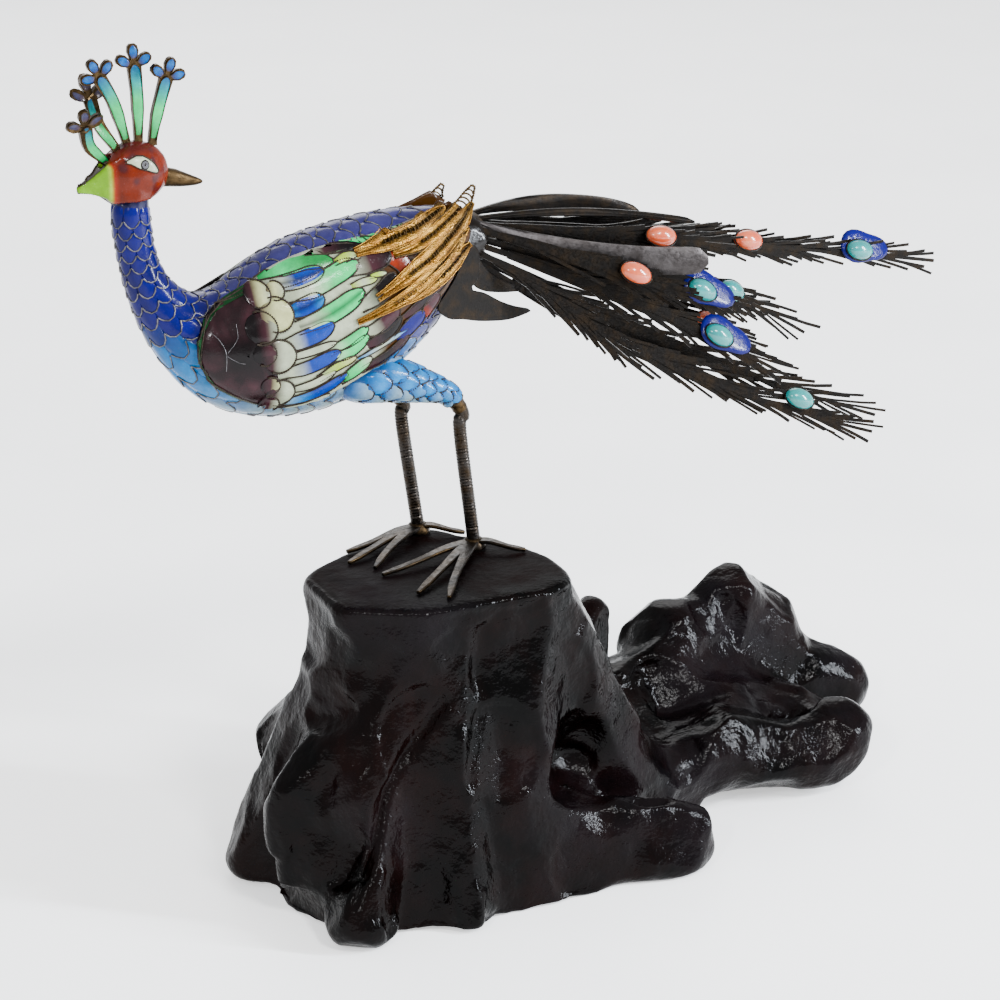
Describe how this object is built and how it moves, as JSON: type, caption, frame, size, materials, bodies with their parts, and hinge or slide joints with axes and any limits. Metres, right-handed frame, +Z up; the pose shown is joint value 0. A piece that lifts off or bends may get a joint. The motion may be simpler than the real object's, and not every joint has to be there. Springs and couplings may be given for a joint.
{
  "type": "peacock figurine",
  "caption": "Enamelled metal peacock looking back over its filigree train, standing on a carved, lacquered wood rock stand.",
  "frame": {"origin": "on the flat underside of the carved stand, below the middle of the bird's two ankles", "axes": "+Z up, +X along the bird's tail and beak, -X its breast, -Y the bird's left side, which the picture shows"},
  "size_m": [0.1931, 0.0919, 0.1693],
  "materials": {
    "lacquered_wood": "gloss",
    "blue_enamel": "gloss",
    "feather_enamel": "gloss",
    "red_enamel": "gloss",
    "sky_enamel": "gloss",
    "mint_enamel": "gloss",
    "gilt_metal": "worn satin",
    "dark_wire": "satin",
    "dark_silver": "tarnished satin",
    "coral": "polished",
    "turquoise": "polished"
  },
  "bodies": {
    "root": {"stand": "lacquered_wood", "body": "blue_enamel", "head": "red_enamel", "beak": "gilt_metal", "crest_1": "mint_enamel", "crest_2": "mint_enamel", "crest_3": "mint_enamel", "crest_4": "mint_enamel", "crest_5": "mint_enamel", "wing_left": "feather_enamel", "thigh_left": "sky_enamel", "leg_left": "dark_wire", "foot_left": "gilt_metal", "wing_right": "feather_enamel", "thigh_right": "sky_enamel", "leg_right": "dark_wire", "foot_right": "gilt_metal", "tail_blade_1": "dark_silver", "tail_blade_2": "dark_silver", "tail_blade_3": "dark_silver", "tail_blade_4": "dark_silver", "tail_blade_5": "dark_silver", "tail_feather_01": "dark_silver", "tail_feather_02": "dark_silver", "tail_feather_03": "dark_silver", "tail_feather_04": "dark_silver", "tail_feather_05": "dark_silver", "tail_feather_06": "dark_silver", "tail_feather_07": "dark_silver", "tail_feather_08": "dark_silver", "tail_feather_09": "dark_silver", "tail_feather_10": "dark_silver", "tail_feather_11": "dark_silver", "tail_feather_12": "dark_silver", "tail_feather_13": "dark_silver", "tail_feather_14": "dark_silver", "tail_feather_15": "dark_silver", "stone_01": "turquoise", "stone_02": "coral", "stone_03": "coral", "stone_04": "coral", "stone_05": "turquoise", "stone_06": "turquoise", "stone_07": "coral", "stone_08": "turquoise", "stone_09": "turquoise", "stone_10": "turquoise", "stone_11": "coral", "stone_12": "turquoise"}
  },
  "joints": []
}
